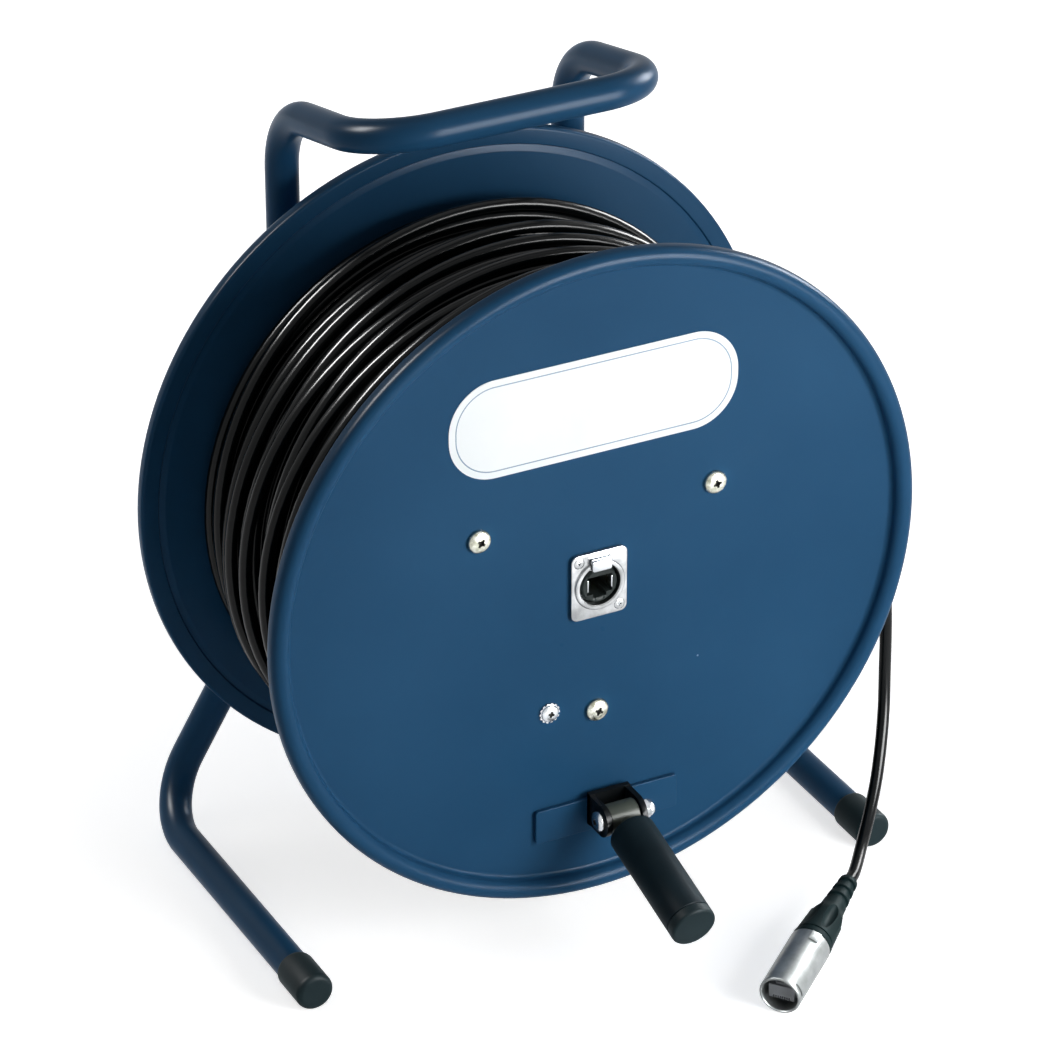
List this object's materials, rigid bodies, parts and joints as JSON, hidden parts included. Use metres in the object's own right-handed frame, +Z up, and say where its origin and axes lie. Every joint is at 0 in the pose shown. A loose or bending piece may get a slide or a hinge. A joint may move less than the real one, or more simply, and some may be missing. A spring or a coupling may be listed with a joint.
{
  "type": "data cable drum",
  "caption": "Steel cable drum on a bent tube stand with carry handle, wound with network cable, with panel socket, folding crank handle and plug on the free end.",
  "frame": {"origin": "on the floor, under the middle of the stand and drum without the free cable", "axes": "+Z up; -Y is the side of the drum with the socket and crank; the drum turns about Y; +X is to the right seen from the front"},
  "size_m": [0.31, 0.2922, 0.3717],
  "materials": {
    "blue_paint": "satin",
    "dark_paint": "satin",
    "zinc": "satin",
    "yellow_zinc": "satin",
    "steel": "satin",
    "bronze": "satin",
    "black_plastic": "matt",
    "black_rubber": "matt",
    "jacket": "gloss"
  },
  "bodies": {
    "stand": {"stand_tube": "blue_paint", "hub_channel": "blue_paint", "foot_cap_left": "black_plastic", "foot_cap_right": "black_plastic", "axle": "steel", "washer_front": "zinc", "washer_rear": "zinc", "retaining_ring": "steel", "axle_nut_washer": "zinc", "axle_nut": "zinc", "cable_tail": "jacket", "plug_boot": "black_rubber", "plug_chuck": "black_plastic", "plug_carrier": "black_plastic", "plug_shell": "zinc"},
    "drum": {"front_flange": "blue_paint", "rear_flange": "blue_paint", "drum_core": "blue_paint", "core_web": "blue_paint", "tie_bolt_1": "yellow_zinc", "tie_bolt_2": "yellow_zinc", "tie_bolt_3": "yellow_zinc", "tie_nut_1": "yellow_zinc", "tie_nut_2": "yellow_zinc", "tie_nut_3": "yellow_zinc", "hub_tube": "dark_paint", "bush_front": "bronze", "bush_rear": "bronze", "cable_layer": "jacket", "cable_coil": "jacket", "socket_housing": "zinc", "socket_insert": "black_plastic", "socket_screw_1": "zinc", "socket_screw_2": "zinc", "inner_lead": "jacket", "clip_screw": "zinc", "cable_clip": "black_plastic", "clip_nut": "zinc", "crank_strip": "blue_paint", "crank_clevis": "black_plastic", "pivot_bolt": "zinc", "pivot_nut": "zinc"},
    "crank": {"crank_spindle": "dark_paint", "spindle_washer": "zinc"},
    "grip": {"grip": "black_plastic", "grip_cap": "black_plastic"},
    "latch": {"socket_latch": "zinc"},
    "brake_shoe": {"brake_shoe": "black_rubber"},
    "brake_knob": {"brake_knob": "black_plastic", "brake_stud": "steel"}
  },
  "joints": [
    {"name": "drum_spin", "type": "hinge", "parent": "stand", "child": "drum", "pos_m": [0, 0.01637, 0.17475], "axis": [0, 1, 0], "continuous": true},
    {"name": "crank_fold", "type": "hinge", "parent": "drum", "child": "crank", "pos_m": [0.0045, -0.06413, 0.06145], "axis": [-1, 0, 0], "range_deg": [0, 105]},
    {"name": "grip_spin", "type": "hinge", "parent": "crank", "child": "grip", "pos_m": [0.0045, -0.06413, 0.06145], "axis": [0, -0.9627, -0.2706], "continuous": true},
    {"name": "latch_press", "type": "slide", "parent": "drum", "child": "latch", "axis": [0, 1, 0], "range_m": [0, 0.0012], "stiffness_N_per_m": 1200, "springref_m": -0.001},
    {"name": "brake_feed", "type": "slide", "parent": "stand", "child": "brake_shoe", "axis": [0, -1, 0], "range_m": [0, 0.001]},
    {"name": "brake_turn", "type": "hinge", "parent": "stand", "child": "brake_knob", "pos_m": [0.042, 0.11637, 0.17475], "axis": [0, -1, 0], "range_deg": [0, 288]}
  ],
  "couplings": [
    {"joint": "brake_feed", "follows": "brake_turn", "m_per_rad": 0.00019894}
  ]
}
